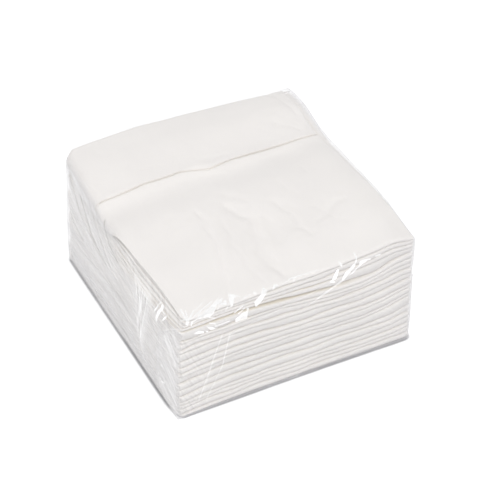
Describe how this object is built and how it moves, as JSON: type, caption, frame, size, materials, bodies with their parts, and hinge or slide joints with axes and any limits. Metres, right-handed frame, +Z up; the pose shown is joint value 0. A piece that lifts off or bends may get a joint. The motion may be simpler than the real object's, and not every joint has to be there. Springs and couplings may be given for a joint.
{
  "type": "pack of paper hand towels",
  "caption": "Square pack of white paper hand towels, each folded in half and then in three with a flap on top, stacked in a tight wrap of clear film.",
  "frame": {"origin": "centre of the pack's underside, where it rests", "axes": "+X along the front towards the creased side of the towels, +Y from the round front folds to the back, +Z up through the stack"},
  "size_m": [0.166, 0.173, 0.0894],
  "materials": {
    "paper": "soft matt white tissue with a fine emboss",
    "film": "thin clear glossy film, creased where it is drawn tight"
  },
  "bodies": {
    "root": {"towel_01": "paper", "towel_02": "paper", "towel_03": "paper", "towel_04": "paper", "towel_05": "paper", "towel_06": "paper", "towel_07": "paper", "towel_08": "paper", "towel_09": "paper", "towel_10": "paper", "towel_11": "paper", "towel_12": "paper", "towel_13": "paper", "towel_14": "paper", "towel_15": "paper", "towel_16": "paper", "towel_17": "paper", "towel_18": "paper", "towel_19": "paper", "towel_20": "paper", "film_wrap": "film"}
  },
  "joints": []
}
